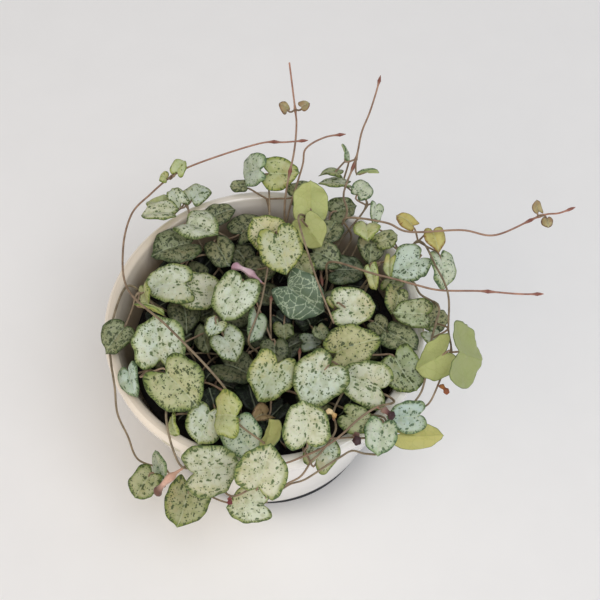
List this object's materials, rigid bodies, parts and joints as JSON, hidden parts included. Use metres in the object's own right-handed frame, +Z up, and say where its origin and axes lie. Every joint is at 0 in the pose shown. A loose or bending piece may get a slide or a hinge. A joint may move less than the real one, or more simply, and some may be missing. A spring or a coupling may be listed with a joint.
{
  "type": "potted string of hearts plant",
  "caption": "Small trailing houseplant with thin stems and pairs of mottled heart-shaped leaves over soil in a tapered glazed pot with a plain collar.",
  "frame": {"origin": "centre of the pot's flat base", "axes": "+Z up along the pot's axis, -Y towards the viewer at the front, +X to the viewer's right"},
  "size_m": [0.1942, 0.1861, 0.1305],
  "materials": {
    "glaze": "glossy warm white glaze",
    "potting_mix": "matt, crumbly, nearly black",
    "leaf": "satin, silver green with dark green mottling",
    "stem": "thin, matt, mauve brown",
    "petal": "matt, pink to maroon"
  },
  "bodies": {
    "root": {"bloom_bud": "petal", "bloom_dried": "petal", "bloom_lilac": "petal", "bloom_maroon_east": "petal", "bloom_maroon_front": "petal", "bloom_salmon": "petal", "bloom_star": "petal", "pot": "glaze", "runner_across_south": "stem", "runner_arch": "stem", "runner_east": "stem", "runner_far_north": "stem", "runner_low_east": "stem", "runner_low_south": "stem", "runner_north": "stem", "runner_over_south": "stem", "runner_round_east": "stem", "runner_upright": "stem", "soil": "potting_mix", "vine_big_southeast": "leaf", "vine_dark_middle": "leaf", "vine_dark_north": "leaf", "vine_dark_northeast": "leaf", "vine_dark_west": "leaf", "vine_deep_1": "leaf", "vine_deep_2": "leaf", "vine_deep_3": "leaf", "vine_deep_4": "leaf", "vine_deep_5": "leaf", "vine_festoon": "leaf", "vine_front": "leaf", "vine_hanging_east": "leaf", "vine_inner_northwest": "leaf", "vine_middle_east": "leaf", "vine_middle_north": "leaf", "vine_middle_northeast": "leaf", "vine_middle_west": "leaf", "vine_net_middle": "leaf", "vine_over_front": "leaf", "vine_pair_southeast": "leaf", "vine_pair_west": "leaf", "vine_rim_east": "leaf", "vine_rim_north": "leaf", "vine_rim_northeast": "leaf", "vine_rim_northwest": "leaf", "vine_rim_southeast": "leaf", "vine_rim_southwest": "leaf", "vine_silver_west": "leaf", "vine_small_middle": "leaf", "vine_south": "leaf", "vine_southwest": "leaf", "vine_top_north": "leaf", "vine_top_south": "leaf", "vine_upright_north": "leaf", "vine_young_east": "leaf", "vine_young_northeast": "leaf", "vine_young_west": "leaf"}
  },
  "joints": []
}
